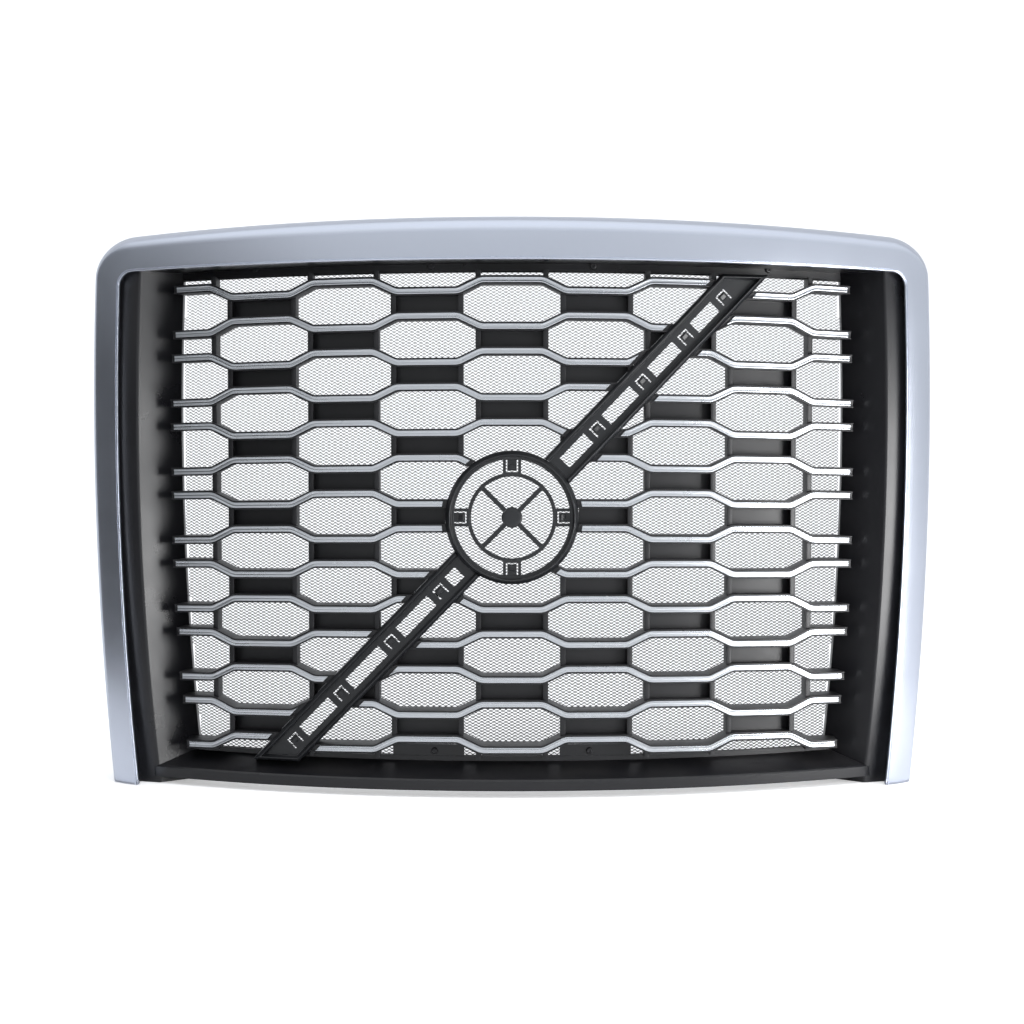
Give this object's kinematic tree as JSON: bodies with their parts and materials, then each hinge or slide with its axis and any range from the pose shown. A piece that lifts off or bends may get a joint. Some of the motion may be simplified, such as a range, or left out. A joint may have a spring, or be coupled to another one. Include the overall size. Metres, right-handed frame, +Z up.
{
  "type": "truck front grille",
  "caption": "Curved truck front grille: silver surround, black bezel, wavy honeycomb bars with silver trim strips, diagonal badge rail with a round hub, and a bug screen behind.",
  "frame": {"origin": "centre of the four hood bolt holes, on the rear face of the hood brackets' pads", "axes": "+X to the right as seen from in front, +Y rearward into the hood, +Z up; the grille's face looks along -Y"},
  "size_m": [1.1498, 0.23, 0.761],
  "materials": {
    "silver_paint": "satin silver paint on a moulded surround",
    "trim_silver": "satin silver",
    "bezel_black": "satin black moulded",
    "insert_black": "satin black moulded",
    "carrier_black": "satin black moulded",
    "screen_mesh": "expanded metal, dull",
    "fastener_black": "black coated",
    "zinc_steel": "zinc plated",
    "bracket_steel": "black electrocoat"
  },
  "bodies": {
    "root": {"surround": "silver_paint", "left_wing": "bezel_black", "right_wing": "bezel_black", "header_rail": "bezel_black", "lower_sill": "bezel_black", "grille_insert": "insert_black", "trim_left_01": "trim_silver", "trim_left_02": "trim_silver", "trim_left_03": "trim_silver", "trim_left_04": "trim_silver", "trim_left_05": "trim_silver", "trim_left_06": "trim_silver", "trim_left_07": "trim_silver", "trim_left_08": "trim_silver", "trim_left_09": "trim_silver", "trim_left_10": "trim_silver", "trim_left_11": "trim_silver", "trim_left_12": "trim_silver", "trim_left_13": "trim_silver", "trim_left_14": "trim_silver", "trim_right_01": "trim_silver", "trim_right_02": "trim_silver", "trim_right_03": "trim_silver", "trim_right_04": "trim_silver", "trim_right_05": "trim_silver", "trim_right_06": "trim_silver", "trim_right_07": "trim_silver", "trim_right_08": "trim_silver", "trim_right_09": "trim_silver", "trim_right_10": "trim_silver", "trim_right_11": "trim_silver", "trim_right_12": "trim_silver", "trim_right_13": "trim_silver", "trim_right_14": "trim_silver", "upper_badge_rail": "carrier_black", "lower_badge_rail": "carrier_black", "badge_hub": "carrier_black", "bug_screen": "screen_mesh", "screen_rivets": "fastener_black", "header_screws": "fastener_black", "sill_screws": "fastener_black", "surround_screws": "zinc_steel", "bracket_screws": "zinc_steel", "left_hood_bracket": "bracket_steel", "right_hood_bracket": "bracket_steel"}
  },
  "joints": []
}
